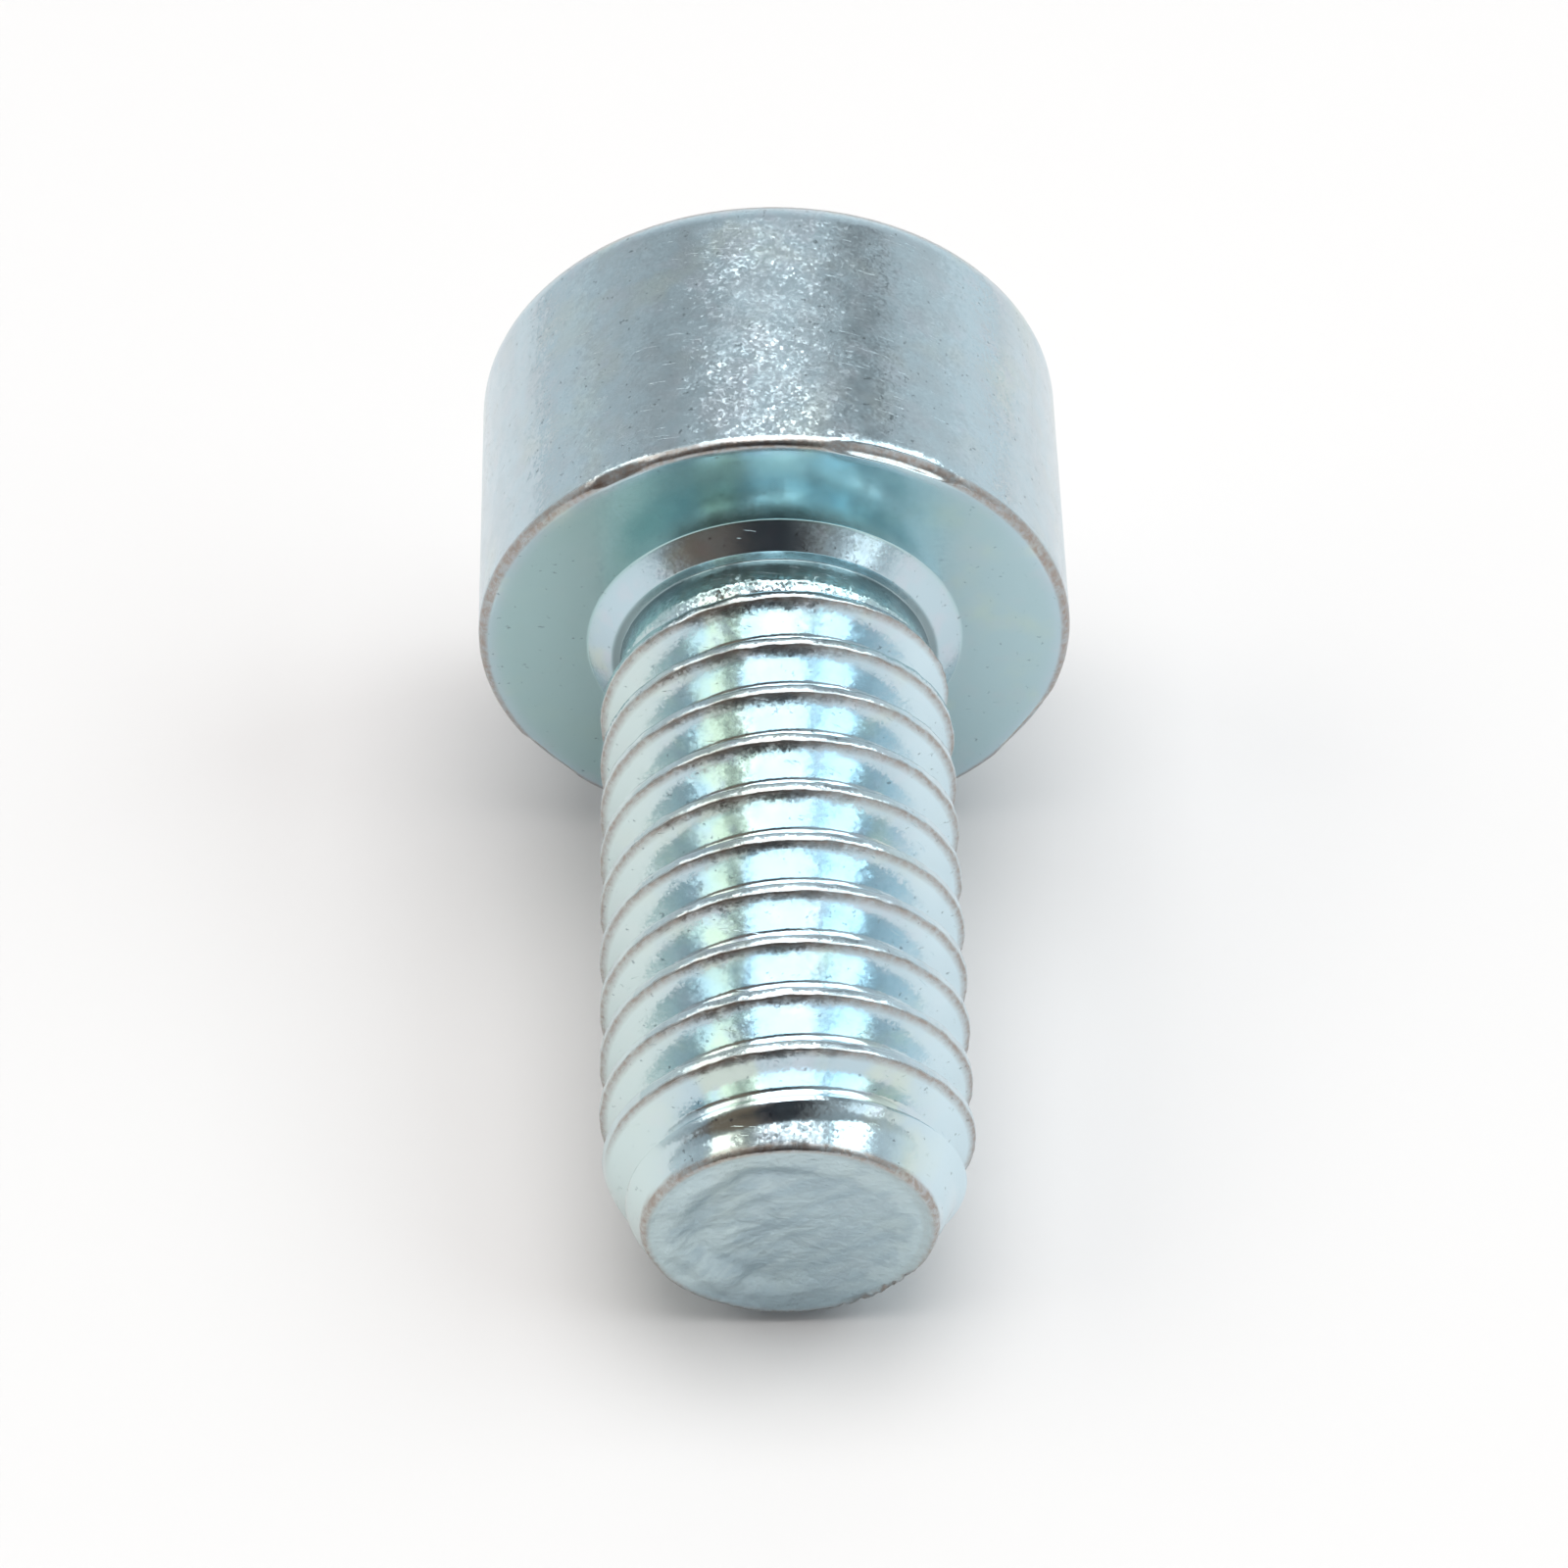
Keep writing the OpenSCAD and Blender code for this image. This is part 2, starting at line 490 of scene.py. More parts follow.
def floor_place(share):
    """Puts a point on the floor: flat in the corners, a shallow cone within."""
    def place(co):
        r = share * SOCKET_AF / 2
        flat = Vector((co.x, co.y)).normalized() * r
        return Vector((flat.x, flat.y, floor_z - SOCKET_CONE_H * (1 - share)))
    return place


ring = open_edges(screw, HEAD_H - 0.012)
ring = extrude_ring(screw, ring, hexagon_place(widen=0.02))
ring = extrude_ring(screw, ring, hexagon_place())
wall_top = HEAD_H - (mouth_r - SOCKET_AF / 2) / 2 - 0.03
for row in range(WALL_ROWS + 1):
    wall_z = wall_top + (floor_z + 0.03 - wall_top) * row / WALL_ROWS
    ring = extrude_ring(screw, ring, hexagon_place(z=wall_z))
ring = extrude_ring(screw, ring, hexagon_place(z=floor_z))
for step in range(FLOOR_RINGS):
    ring = extrude_ring(screw, ring, floor_place(0.99 * (1 - step / FLOOR_RINGS)))
middle = bmesh.ops.contextual_create(screw, geom=ring)["faces"]
bmesh.ops.poke(screw, faces=middle)
print("Socket made; faces so far:", len(screw.faces))

# %% Join the thread to the neck
neck_rings = open_edges(screw, NECK_END_Z) + open_edges(screw, NECK_CUT)
bmesh.ops.bridge_loops(screw, edges=neck_rings)
bmesh.ops.triangulate(screw, faces=[face for face in screw.faces if len(face.verts) > 4])
bmesh.ops.recalc_face_normals(screw, faces=screw.faces)
print("Open edges left:", sum(edge.is_boundary for edge in screw.edges))

# %% [markdown]
# ## Marks of making and handling
#
# A new zinc-plated screw isn't perfect: it fell among thousands of others. Its
# rim is nicked, its side has shallow dents, its rolled crests are ragged, the
# first thread is crinkled where the die let go, and the end face shows how the
# wire tore. These are moved points, not only bump, because they show in the
# outline and in the reflections.

# %% Dents of the head's side
DENTS = 90
DENT_DEPTH = (0.002, 0.007)
DENT_R = (0.16, 0.42)
marks = random.Random(6)
dents = [
    (
        marks.uniform(-math.pi, math.pi),
        marks.uniform(0.2, HEAD_H - 0.4),
        marks.uniform(*DENT_R),
        marks.uniform(*DENT_DEPTH),
    )
    for _ in range(DENTS)
]


def dent_depth(angle, z):
    """How deep the dents of the head's side are at this place."""
    depth = 0.0
    for dent_angle, dent_z, dent_r, deepest in dents:
        turn = (angle - dent_angle + math.pi) % (2 * math.pi) - math.pi
        gap = math.hypot(turn * HEAD_R, z - dent_z) / dent_r
        if gap < 1:
            depth += deepest * (1 - gap * gap) ** 2
    return depth


print("Dents:", len(dents))

# %% Bruises of the rim
# Each bruise: degrees from the top towards +X, half width in degrees, depth in mm
RIM_BRUISES = (
    (24, 17, 0.10), (-31, 8, 0.04), (66, 9, 0.05), (-75, 7, 0.04),
    (118, 12, 0.07), (171, 9, 0.06), (-128, 10, 0.08),
)


def bruise_depth(turn):
    """How far a bruise has pressed the rim back, at this turn from the top."""
    depth = 0.0
    for degrees, half_width, deepest in RIM_BRUISES:
        gap = (turn * 360 - degrees + 180) % 360 - 180
        depth += deepest * smooth_step(half_width, 0.3 * half_width, abs(gap))
    return depth


print("Bruises:", len(RIM_BRUISES))

# %% The torn end face
DISH_DEPTH = 0.14
HATCH_DEPTH = 0.014
NICK_DEPTH = 0.022
BURR_DEPTH = 0.12
# Direction of the tear, as shares across and up
TEAR_ACROSS = 0.77
TEAR_UP = 0.64


def place_on_end(co):
    """Place on the end face as shares of its radius: across, and up as it lies."""
    return co.x / TIP_R, -co.y / TIP_R


def end_relief(across, up):
    """Height of the torn end face, in shares of its radius across and up."""
    from_centre = math.hypot(across, up)
    left = smooth_step(0.5, -0.4, across)
    uneven = from_centre + 0.06 * noise.noise(Vector((across * 3, up * 3, 2.0)))
    dish = DISH_DEPTH * smooth_step(0.80, 0.62, uneven) * (0.12 + 0.88 * left)
    along = across * TEAR_ACROSS + up * TEAR_UP
    beside = up * TEAR_ACROSS - across * TEAR_UP
    streak = noise.fractal(Vector((along * 2.6, beside * 6.5, 4.0)), 0.8, 2.0, 4)
    lump = noise.noise(Vector((along * 2.4, beside * 4.4, 9.0)))
    grain = noise.fractal(Vector((across * 9, up * 12, 1.0)), 0.6, 2.0, 3)
    hatch_share = smooth_step(-0.1, -0.4, across) * smooth_step(0.0, -0.3, up)
    hatch = math.sin(34 * (across * 0.8 + up * 0.6)) * smooth_step(0.72, 0.86, from_centre)
    rough = streak * (0.008 + 0.018 * left) + lump * (0.006 + 0.044 * left) + grain * 0.008
    return dish + rough + HATCH_DEPTH * hatch * hatch_share


def end_nicks(across, up, place):
    """Depth of the nicks in the edge of the end face, deepest at the lower right."""
    burr = smooth_step(0.15, 0.5, across) * smooth_step(-0.45, -0.65, up)
    coarse = max(0.0, noise.fractal(place * 3.0, 1.0, 2.0, 3))
    fine = max(0.0, noise.fractal(place * 6.5, 1.0, 2.0, 3) + 0.15)
    return NICK_DEPTH * coarse + BURR_DEPTH * burr * fine


print("Dish in the middle of the end:", round(end_relief(0.0, 0.0), 3), "mm")

# %% Move the points
CREST_RAG = 0.012
CREST_WANDER = 0.022
CRINKLE_H = 0.022
RIM_NICK_DEPTH = 0.030


def wear_point(co):
    """New place of a point of the upright screw."""
    r = math.hypot(co.x, co.y)
    angle = math.atan2(co.y, co.x)
    z = co.z
    out = Vector((co.x / r, co.y / r, 0.0)) if r > 1e-6 else Vector()
    if z < NECK_Z:
        rag = smooth_step(THREAD_R - 0.12, THREAD_R - 0.01, r)
        co = co + out * rag * CREST_RAG * (noise.noise(co * 3.5) - 1.0)
        co.z += rag * CREST_WANDER * noise.fractal(co * 4.0 + Vector((7, 3, 1)), 1.0, 2.0, 3)
        crinkle = smooth_step(-1.6, -1.15, z) * smooth_step(NECK_Z - 0.1, NECK_Z - 0.3, z)
        co = co + out * crinkle * CRINKLE_H * noise.fractal(co * 5.0, 0.8, 2.0, 4)
        across, up = place_on_end(co)
        end = smooth_step(0.05, 0.0, z + SHANK_LEN) * smooth_step(TIP_R, TIP_R - 0.16, r)
        co.z += end * max(0.0, end_relief(across, up) + 0.03)
        edge = smooth_step(0.14, 0.0, abs(z + SHANK_LEN)) * smooth_step(TIP_R - 0.2, TIP_R, r)
        depth = edge * end_nicks(across, up, co)
        co = co - out * depth
        co.z += 0.6 * depth
    elif r > HEAD_R - 0.02 and z > RIM_EDGE_R:
        co = co - out * dent_depth(angle, z)
    if abs(z) < 0.2 and r > HEAD_R - 0.3:
        nick = smooth_step(0.20, 0.05, math.hypot(r - HEAD_R, z))
        depth = max(0.0, noise.fractal(Vector((angle * 9.0, r, z)), 1.0, 2.0, 4) - 0.1)
        depth = RIM_NICK_DEPTH * depth + bruise_depth(turn_from_top(co.x, co.y))
        co = co - out * nick * depth
        co.z += nick * 0.7 * depth
    return co


upright = [vert.co.copy() for vert in screw.verts]
for vert in screw.verts:
    vert.co = wear_point(vert.co)
largest_move = max((vert.co - place).length for vert, place in zip(screw.verts, upright))
print("Largest move:", round(largest_move, 4), "mm")

# %% [markdown]
# ## What the finish needs to know
#
# The finish follows the screw: edges are worn and the end face is torn. Under the head and in
# the neck the coat is painted darker teal, partly as painted shade. Each point carries its
# upright place in millimetres and a few shares between 0 and 1 that the material reads.

# %% Shares for the finish
own_place = screw.verts.layers.float_vector.new("own_place")
worn_edge = screw.verts.layers.float.new("worn_edge")
torn_end = screw.verts.layers.float.new("torn_end")
tumbled = screw.verts.layers.float.new("tumbled")
under_head_and_neck = screw.verts.layers.float.new("under_head_and_neck")
crinkled = screw.verts.layers.float.new("crinkled")


def below_crest(co):
    """How far a thread point lies from the nearest crest, towards the tip."""
    crest_z = PITCH * (math.atan2(co.y, co.x) - THREAD_START) / (2 * math.pi)
    return (crest_z - co.z + PITCH / 2) % PITCH - PITCH / 2


def edge_share(co):
    """1 on the rubbed edges: rim, lower crest edges, end edge; 0 elsewhere."""
    r = math.hypot(co.x, co.y)
    rim = smooth_step(0.18, 0.11, math.hypot(r - HEAD_R, co.z))
    across, up = place_on_end(co)
    width = 0.09 + 0.09 * smooth_step(0.2, 0.9, across)
    end = smooth_step(TIP_R - width - 0.04, TIP_R - width, r)
    end *= smooth_step(0.15, 0.09, co.z + SHANK_LEN)
    crest = smooth_step(0.055, 0.01, abs(below_crest(co) - 0.09))
    crest *= smooth_step(THREAD_R - 0.12, THREAD_R - 0.05, r) * (co.z < NECK_Z)
    top_r = HEAD_R - 0.3 * TOP_EDGE_R
    top = smooth_step(0.30, 0.05, math.hypot(r - top_r, co.z - HEAD_H + 0.3 * TOP_EDGE_R))
    return max(rim, end, 0.95 * crest, top)


def tumbled_share(co):
    """1 where tumbling has pecked the surface, less in the thread and under the head."""
    if co.z < NECK_Z:
        crest = smooth_step(THREAD_R - 0.16, THREAD_R - 0.04, math.hypot(co.x, co.y))
        return max(0.46 + 0.34 * crest, 0.7 * smooth_step(-1.5, -0.9, co.z))
    if co.z < -0.02:
        return 0.38
    if co.z < 0.05:
        return 0.10
    return 1.0 - 0.3 * smooth_step(-TOP_EDGE_R - 0.2, -TOP_EDGE_R + 0.1, co.z - HEAD_H)


def crinkled_share(co):
    """1 where the die has let go of the first thread and left it crinkled."""
    return smooth_step(-1.35, -1.0, co.z) * smooth_step(-0.55, -0.75, co.z)


def under_head_and_neck_share(co):
    """1 under the head and in the neck, where the coat is rougher and painted darker teal,
    partly as painted shade.
    """
    r = math.hypot(co.x, co.y)
    under_head = smooth_step(HEAD_R - 0.05, HEAD_R - 0.45, r) * smooth_step(0.05, 0.0, abs(co.z))
    neck = smooth_step(NECK_END_Z - 0.2, NECK_END_Z, co.z)
    neck *= smooth_step(-COLLAR_H + 0.02, -COLLAR_H - 0.03, co.z)
    return max(under_head, neck)


for vert, place in zip(screw.verts, upright):
    vert[own_place] = place
    vert[under_head_and_neck] = under_head_and_neck_share(place)
    vert[crinkled] = crinkled_share(place)
    vert[worn_edge] = edge_share(place)
    vert[tumbled] = tumbled_share(place)
    r = math.hypot(place.x, place.y)
    at_end = smooth_step(0.03, 0.0, place.z + SHANK_LEN)
    vert[torn_end] = at_end * smooth_step(TIP_R, TIP_R - 0.1, r)
print("Points of the torn end:", sum(vert[torn_end] > 0.5 for vert in screw.verts))

# %% Make the object
SHARP_ANGLE = math.radians(38)
for face in screw.faces:
    face.smooth = True
for edge in screw.edges:
    edge.smooth = edge.calc_face_angle(0.0) < SHARP_ANGLE
bmesh.ops.transform(screw, matrix=lay_down, verts=screw.verts)
mesh = bpy.data.meshes.new("cap_screw")
screw.to_mesh(mesh)
screw.free()
cap_screw = bpy.data.objects.new("cap_screw", mesh)
bpy.context.scene.collection.objects.link(cap_screw)
triangles = sum(len(polygon.vertices) - 2 for polygon in mesh.polygons)
print("Triangles in the screw:", triangles)

# %% [markdown]
# ## The zinc finish
#
# Zinc plate with a clear blue coat is a metal with a pale blue-green tint that drifts a little
# towards cream and steel blue. Tumbling leaves fine flecks and pits, edges rub to a warm
# grey-brown, and the torn end is dull. Some tints are painted light and shade: paler thread
# sides with a cream reflection, a darker teal under the head, a dark band below the collar and a
# darker bottom on the end face.

# %% Helpers for materials
def node_tools(tree):
    """Short ways to add nodes to one tree: any node, a soft ramp, maths, a mix."""
    def fill(socket, value):
        if isinstance(value, bpy.types.NodeSocket):
            tree.links.new(value, socket)
        else:
            socket.default_value = value

    def make(kind, inputs=None, **settings):
        node = tree.nodes.new(kind)
        for name, value in settings.items():
            setattr(node, name, value)
        for name, value in (inputs or {}).items():
            fill(node.inputs[name], value)
        return node

    def ramp(value, low, high, to_low=0.0, to_high=1.0):
        return make("ShaderNodeMapRange", {
            "Value": value, "From Min": low, "From Max": high,
            "To Min": to_low, "To Max": to_high,
        }, interpolation_type="SMOOTHSTEP").outputs["Result"]

    def maths(operation, a, b=0.0, c=0.0):
        return make("ShaderNodeMath", {0: a, 1: b, 2: c}, operation=operation).outputs[0]

    def vectors(operation, a, b=(0, 0, 0), c=(0, 0, 0)):
        return make("ShaderNodeVectorMath", {0: a, 1: b, 2: c}, operation=operation).outputs[0]

    def mix(factor, a, b):
        return make("ShaderNodeMix", {0: factor, 6: a, 7: b}, data_type="RGBA",
                    clamp_factor=False).outputs[2]

    return make, ramp, maths, vectors, mix


# %% Colours of the zinc plate
BLUE_ZINC = (0.52, 0.66, 0.73, 1)
GREEN_ZINC = (0.61, 0.71, 0.66, 1)
LILAC_ZINC = (0.57, 0.65, 0.72, 1)
CREAM_ZINC = (0.66, 0.77, 0.74, 1)
PALE_ZINC = (0.67, 0.83, 0.90, 1)
TEAL_ZINC = (0.42, 0.61, 0.615, 1)
SHADED_ZINC = (0.20, 0.26, 0.28, 1)
MATT_ZINC = (0.50, 0.585, 0.63, 1)
PIT_GREY = (0.20, 0.25, 0.27, 1)
RUBBED_BROWN = (0.34, 0.285, 0.25, 1)
DULL_AND_SHADED_END = (0.38, 0.49, 0.54, 1)
PALE_END = (0.56, 0.68, 0.70, 1)
print("Colour of the coat:", BLUE_ZINC[:3])

# %% Places and shares
zinc = bpy.data.materials.new("zinc_plate")
zinc.use_nodes = True
zinc.node_tree.nodes.clear()
make, ramp, maths, vectors, mix = node_tools(zinc.node_tree)


def share(name):
    """A share that the points carry."""
    return make("ShaderNodeAttribute", attribute_name=name).outputs["Fac"]


def noise_at(scale, detail=2.0, rough=0.5):
    """Plain noise at the screw's own place."""
    return make("ShaderNodeTexNoise", {
        "Vector": place, "Scale": scale, "Detail": detail, "Roughness": rough,
    }).outputs["Fac"]


def streaks_at(scale, turn):
    """Noise that is stretched along turned axes."""
    turned = make("ShaderNodeMapping", {"Vector": place, "Rotation": turn, "Scale": scale},
                  vector_type="TEXTURE")
    return make("ShaderNodeTexNoise", {
        "Vector": turned.outputs["Vector"], "Scale": 1.0, "Detail": 3.0,
    }).outputs["Fac"]


def flats_at(scale, tilt):
    """Small flats that each lean their own way, as a change of the normal."""
    stir = make("ShaderNodeTexNoise", {"Vector": place, "Scale": scale}).outputs["Color"]
    reach = 0.7 / scale
    moved = vectors("MULTIPLY_ADD", stir, (reach, reach, reach), place)
    flats = make("ShaderNodeTexVoronoi", {"Vector": moved, "Scale": scale}).outputs["Color"]
    return vectors("MULTIPLY_ADD", flats, (tilt,) * 3, (-0.5 * tilt,) * 3)


place = make("ShaderNodeAttribute", attribute_name="own_place").outputs["Vector"]
is_edge = share("worn_edge")
is_torn = share("torn_end")
is_pecked = share("tumbled")
is_under_head_and_neck = share("under_head_and_neck")
is_crinkled = share("crinkled")
print("Nodes that read the points:", len(zinc.node_tree.nodes))

# %% Tint of the coat
sideways, back, along = make("ShaderNodeSeparateXYZ", {0: place}).outputs
upwards = maths("MULTIPLY", back, -1.0)
flat_place = vectors("MULTIPLY", place, (1, 1, 0))
from_axis = make("ShaderNodeVectorMath", {0: flat_place}, operation="LENGTH").outputs["Value"]
# A cream band on the thread's upper left is a painted reflection, added to the coat's own random
# drift between blue and green
from_cream_reflection = maths("ABSOLUTE", maths("ADD", sideways, 0.9))
on_thread = ramp(along, -0.5, -0.9)
painted_cream_reflection = maths("MULTIPLY", ramp(from_cream_reflection, 0.1, 0.6, 0.28, 0.0), on_thread)
painted_cream_reflection = maths("MULTIPLY", painted_cream_reflection, ramp(upwards, 0.0, 1.0))
cream_tone_and_reflection = maths("ADD", maths("ADD", noise_at(0.8, 3.0), -0.10), painted_cream_reflection)
tint = mix(ramp(cream_tone_and_reflection, 0.42, 0.62), BLUE_ZINC, GREEN_ZINC)
tint = mix(ramp(noise_at(1.7, 3.0), 0.5, 0.7, 0.0, 0.8), tint, LILAC_ZINC)
# The thread's sides are painted lighter, as painted light: creamier along the left and paler
# along the right
painted_left_light = maths("MULTIPLY", ramp(sideways, -1.3, -2.3, 0.0, 0.75), on_thread)
tint = mix(painted_left_light, tint, CREAM_ZINC)
painted_right_light = maths("MULTIPLY", ramp(sideways, 1.5, 2.5, 0.0, 0.85), on_thread)
tint = mix(painted_right_light, tint, PALE_ZINC)
# Under the head and in the neck the coat is darker teal, stronger on the left and at the top:
# partly the coat's own teal, partly painted shade
painted_underside_shade = maths("ADD", ramp(sideways, 0.0, 3.0, 0.85, 0.5), ramp(upwards, 2.2, 3.2, 0.0, 0.15))
tint = mix(maths("MULTIPLY", is_under_head_and_neck, painted_underside_shade), tint, TEAL_ZINC)
# Just below the collar the coat is painted dark: a band of painted shade
painted_neck_shade = maths("MULTIPLY", ramp(along, -0.345, -0.37), ramp(along, -0.80, -0.55, 0.0, 0.75))
tint = mix(painted_neck_shade, tint, SHADED_ZINC)
cloudy = ramp(noise_at(1.6, 5.0, 0.6), 0.38, 0.62, 0.45, 1.0)
cloudy = maths("MULTIPLY", cloudy, ramp(is_pecked, 0.4, 1.0, 0.0, 0.75))
tint = mix(cloudy, tint, MATT_ZINC)
print("Nodes with the coat:", len(zinc.node_tree.nodes))

# %% Pits, rubbed edges and the torn end
pits = ramp(noise_at(7.0, 4.0, 0.6), 0.645, 0.70)
tint = mix(maths("MULTIPLY", pits, 0.65), tint, PIT_GREY)
rubbed = maths("MULTIPLY", is_edge, ramp(noise_at(9.0, 4.0, 0.7), 0.35, 0.65, 0.55, 0.95))
tint = mix(rubbed, tint, RUBBED_BROWN)
tear_and_shade = ramp(streaks_at((0.8, 0.3, 1.0), (0.0, 0.0, -0.69)), 0.35, 0.65)
tear_and_shade = maths("MULTIPLY", tear_and_shade, ramp(sideways, -1.6, 1.0, 0.9, 0.35))
from_ring = maths("ADD", from_axis, ramp(noise_at(2.2, 3.0), 0.3, 0.7, -0.25, 0.25))
tear_and_shade = maths("MAXIMUM", tear_and_shade, ramp(from_ring, 1.5, 1.95, 0.0, 0.75))
# Painted shade: the end face turns to its darker colour towards the bottom, as it lies
tear_and_shade = maths("MULTIPLY", tear_and_shade, ramp(upwards, -2.0, -1.2, 0.0, 1.0))
tint = mix(maths("MULTIPLY", is_torn, 0.85), tint, mix(tear_and_shade, DULL_AND_SHADED_END, PALE_END))
print("Nodes with all tints:", len(zinc.node_tree.nodes))

# %% Roughness
waves = noise_at(2.5, 2.0)
roughness = ramp(waves, 0.3, 0.7, 0.13, 0.18)
roughness = maths("ADD", roughness, maths("MULTIPLY", is_pecked, 0.06))
roughness = maths("ADD", roughness, maths("MULTIPLY", is_under_head_and_neck, 0.05))
roughness = maths("ADD", roughness, maths("MULTIPLY", is_torn, 0.20))
roughness = maths("ADD", roughness, maths("MULTIPLY", is_edge, 0.10))
print("Nodes with the roughness:", len(zinc.node_tree.nodes))

# %% Scratches, grain and flats
scratches = ramp(streaks_at((0.7, 0.7, 0.035), (0.1, 0.15, 0.0)), 0.69, 0.74, 0.0, -1.0)
swell = maths("MULTIPLY", waves, ramp(is_under_head_and_neck, 0.0, 1.0, 0.5, 0.1))
relief = maths("ADD", maths("MULTIPLY", scratches, is_pecked), swell)
grain = maths("MULTIPLY", noise_at(6.0, 5.0, 0.65), maths("MULTIPLY", is_torn, 6.0))
relief = maths("ADD", relief, grain)
bump = make("ShaderNodeBump", {"Height": relief, "Distance": 0.000005})
# Tumbling leaves many small flats, each tilted a little its own way
patchy = ramp(noise_at(0.9, 2.0), 0.35, 0.6, 0.5, 1.0)
flats = vectors("ADD", flats_at(10.0, 0.07), flats_at(21.0, 0.11))
amount = maths("MULTIPLY_ADD", patchy, is_pecked, maths("MULTIPLY", is_crinkled, 1.5))
flats = make(
    "ShaderNodeVectorMath", {0: flats, "Scale": amount}, operation="SCALE"
).outputs["Vector"]
normal = vectors("NORMALIZE", vectors("ADD", bump.outputs["Normal"], flats))
print("Nodes with the relief:", len(zinc.node_tree.nodes))

# %% Finish
shader = make("ShaderNodeBsdfPrincipled", {
    "Base Color": tint,
    "Metallic": 1.0,
    "Roughness": roughness,
    "Normal": normal,
})
make("ShaderNodeOutputMaterial", {"Surface": shader.outputs["BSDF"]})
mesh.materials.append(zinc)
print("Finish:", mesh.materials[0].name)

# %% [markdown]
# ## Table, lamps and surround
#
# The photo has a white table and the soft light of a small photo tent: one
# panel overhead and one at each side. Polished metal shows what is round it, so
# these panels draw the bright patches on the thread, and the open front, where
# the camera stands, draws the dark lines on the edges and the collar.

# %% Table
TABLE_SIZE = 1.6
TABLE_Z = -0.00001
TABLE_PAINT = (0.716, 0.690, 0.684, 1)

table_bmesh = bmesh.new()
bmesh.ops.create_grid(table_bmesh, x_segments=1, y_segments=1, size=TABLE_SIZE / 2)
table_mesh = bpy.data.meshes.new("table")
bmesh.ops.translate(table_bmesh, verts=table_bmesh.verts, vec=(0, 0, TABLE_Z))
table_bmesh.to_mesh(table_mesh)
table_bmesh.free()
table = bpy.data.objects.new("table", table_mesh)
bpy.context.scene.collection.objects.link(table)


def white_table():
    material = bpy.data.materials.new("white_table")
    material.use_nodes = True
    tree = material.node_tree
    tree.nodes.clear()
    make, *_ = node_tools(tree)
    paint = make("ShaderNodeBsdfDiffuse", {"Color": TABLE_PAINT})
    make("ShaderNodeOutputMaterial", {"Surface": paint.outputs[0]})
    return material


table_mesh.materials.append(white_table())
print("Table:", TABLE_SIZE, "m wide")

# %% Lamp panels
# Each panel: middle, turn about Y in degrees, size along its own X and Y, brightness, colour
PANELS = {
    "overhead": ((0.01, -0.0085, 0.50), 0, 0.43, 0.481, 3.1, (1.0, 1.0, 1.0)),
    "left": ((-0.40, -0.02, 0.4285), -90, 0.333, 0.48, 1.9, (1.0, 0.98, 0.91)),
    "right": ((0.40, -0.05, 0.48), 90, 0.42, 0.50, 3.0, (0.86, 0.97, 1.0)),
}
for name, (middle, turn_y, width, depth, brightness, colour) in PANELS.items():
    lamp = bpy.data.lights.new(name, "AREA")
    lamp.shape = "RECTANGLE"
    lamp.size = width
    lamp.size_y = depth
    lamp.color = colour
    # The power of a flat lamp is pi times its brightness times its area
    lamp.energy = brightness * math.pi * width * depth
    panel = bpy.data.objects.new(name, lamp)
    panel.location = middle
    panel.rotation_euler = (0, math.radians(turn_y), 0)
    bpy.context.scene.collection.objects.link(panel)
    print("Panel", name, "has", round(lamp.energy, 2), "watts")

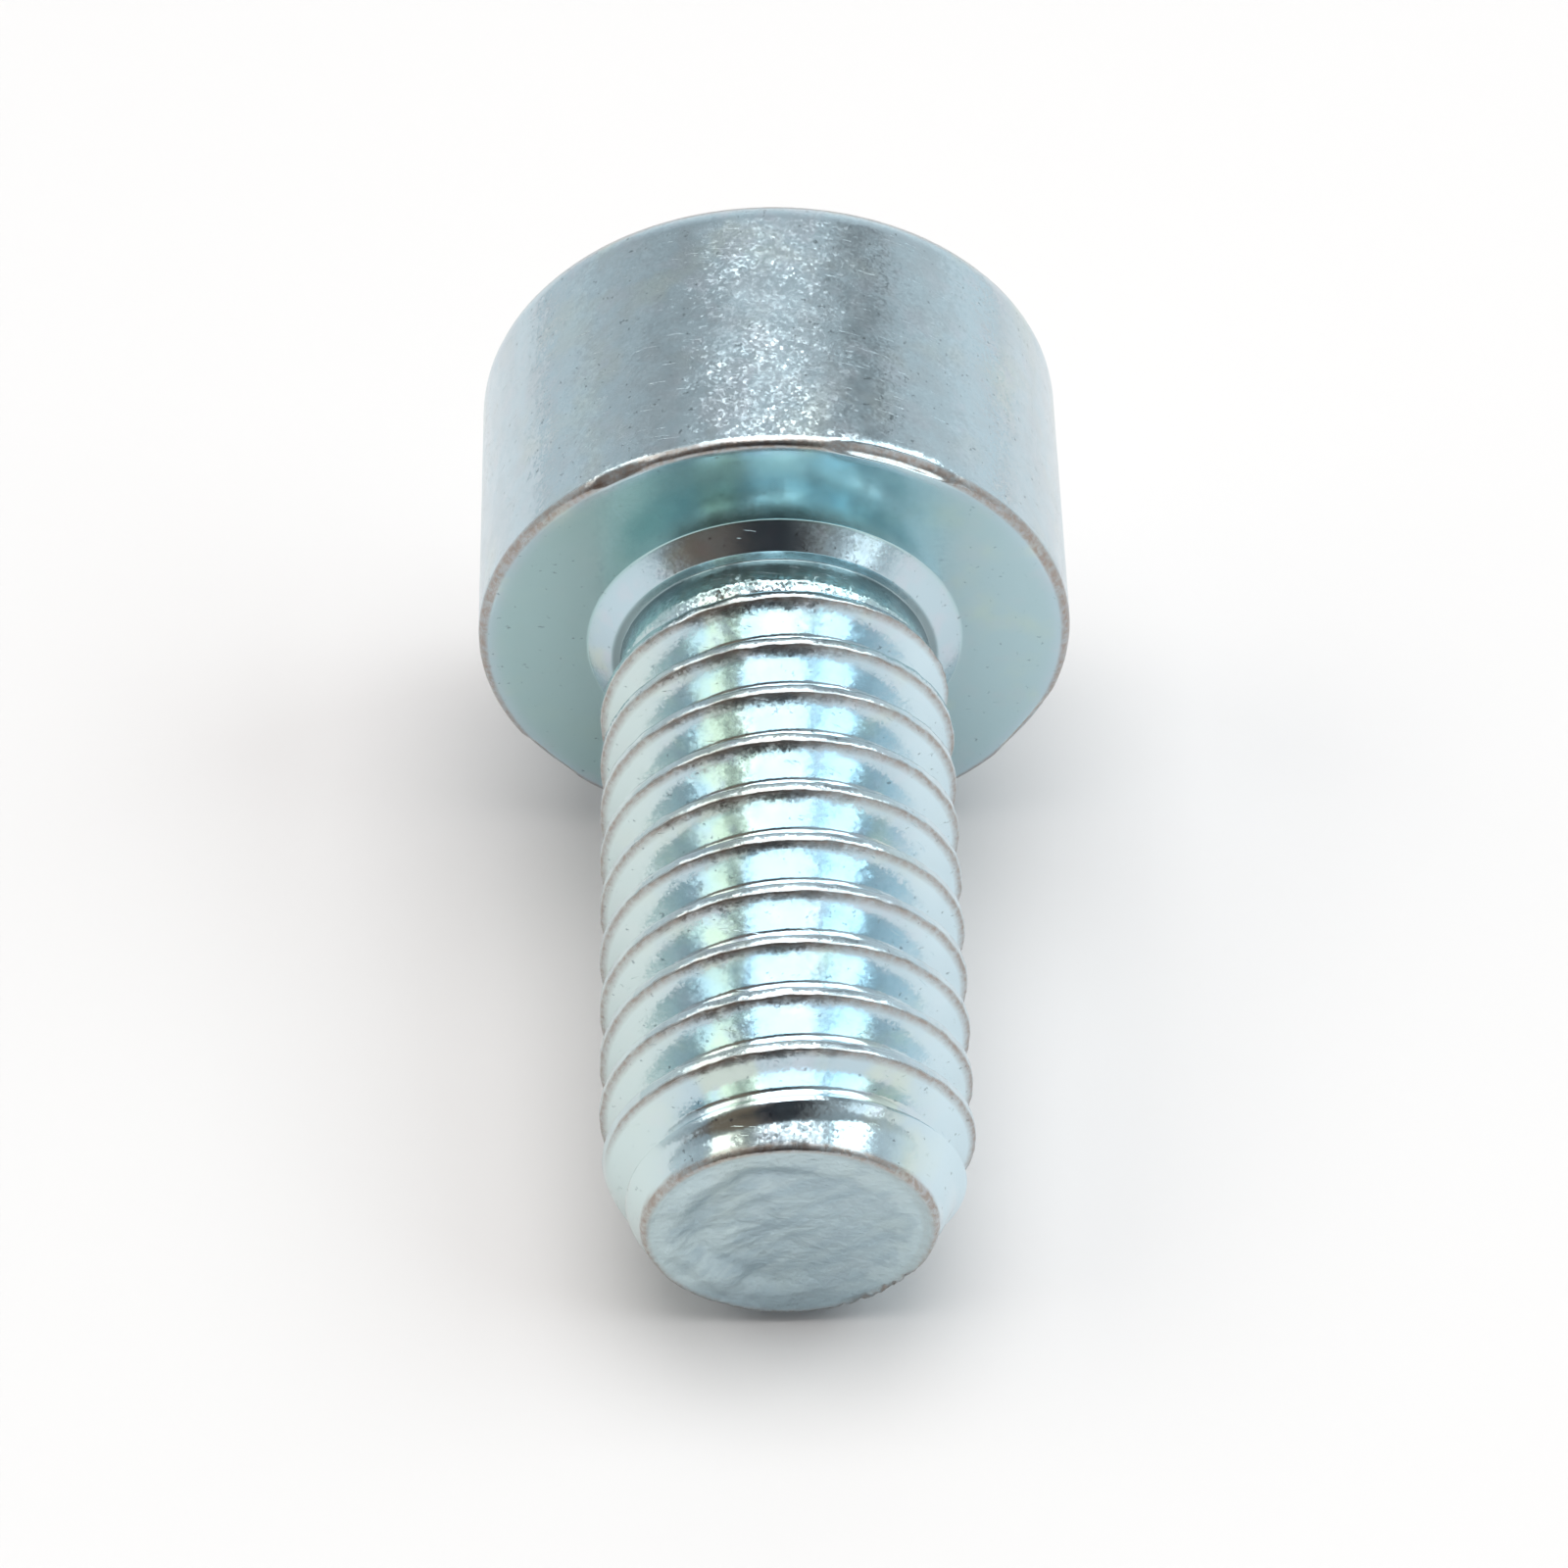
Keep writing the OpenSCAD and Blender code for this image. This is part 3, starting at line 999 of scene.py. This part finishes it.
# %% Surround
def surround():
    world = bpy.data.worlds.new("tent")
    world.use_nodes = True
    tree = world.node_tree
    tree.nodes.clear()
    make, ramp, maths, _, mix = node_tools(tree)

    where = make("ShaderNodeTexCoord").outputs["Generated"]
    x, y, z = make("ShaderNodeSeparateXYZ", {0: where}).outputs
    walls = maths("MULTIPLY", ramp(z, 0.20, 0.34, 0.90, 0.72), ramp(z, 0.34, 0.85, 1.0, 0.61))
    walls = maths("MULTIPLY", walls, ramp(x, -0.7, 0.7, 0.90, 1.08))
    walls = maths("MULTIPLY", walls, ramp(y, -0.7, 0.1, 0.60, 1.0))
    # The middle of the back is paler, and there is a dark fold to its right
    behind = maths("DIVIDE", x, maths("MAXIMUM", y, 0.001))
    middle = ramp(maths("ABSOLUTE", behind), 0.6, 0.2, 1.0, 1.35)
    walls = maths("MULTIPLY", walls, middle)
    fold = maths("MULTIPLY", ramp(behind, 0.54, 0.72), ramp(behind, 1.05, 0.85))
    fold = maths("MULTIPLY", fold, ramp(z, 0.55, 0.66))
    walls = maths("MULTIPLY", walls, ramp(fold, 0.0, 1.0, 1.0, 0.47))

    # The open front, measured on a plane one metre before the screw
    ahead = maths("MAXIMUM", maths("MULTIPLY", y, -1.0), 0.001)
    beside = maths("DIVIDE", x, ahead)
    above = maths("DIVIDE", z, ahead)
    opening = maths("MULTIPLY", ramp(beside, -1.15, -0.90), ramp(beside, 0.62, 0.18))
    opening = maths("MULTIPLY", opening, ramp(above, 0.0, 0.05))
    opening = maths("MULTIPLY", opening, ramp(above, 1.7, 1.3))
    brown = ramp(maths("ABSOLUTE", beside), 0.10, 0.50)
    room = mix(brown, (0.035, 0.035, 0.04, 1), (0.19, 0.14, 0.115, 1))
    bright = maths("MULTIPLY", ramp(beside, 0.55, 0.68), ramp(beside, 1.05, 0.92))
    low = maths("MULTIPLY", ramp(above, 0.04, 0.08), ramp(above, 0.3, 0.2))
    bright = maths("MULTIPLY", bright, low)

    level = maths("ADD", walls, maths("MULTIPLY", bright, 1.3))
    cloth = mix(level, (0, 0, 0, 1), (0.93, 0.98, 1.0, 1))
    colour = mix(opening, cloth, room)

    tent = make("ShaderNodeBackground", {"Color": colour, "Strength": 1.0})
    make("ShaderNodeOutputWorld", {"Surface": tent.outputs[0]})
    return world


bpy.context.scene.world = surround()
bpy.context.scene.view_settings.view_transform = "Standard"
print("Surround:", bpy.context.scene.world.name)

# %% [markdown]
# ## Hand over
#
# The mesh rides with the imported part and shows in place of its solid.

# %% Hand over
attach(cap_screw, "root")
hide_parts("screw")
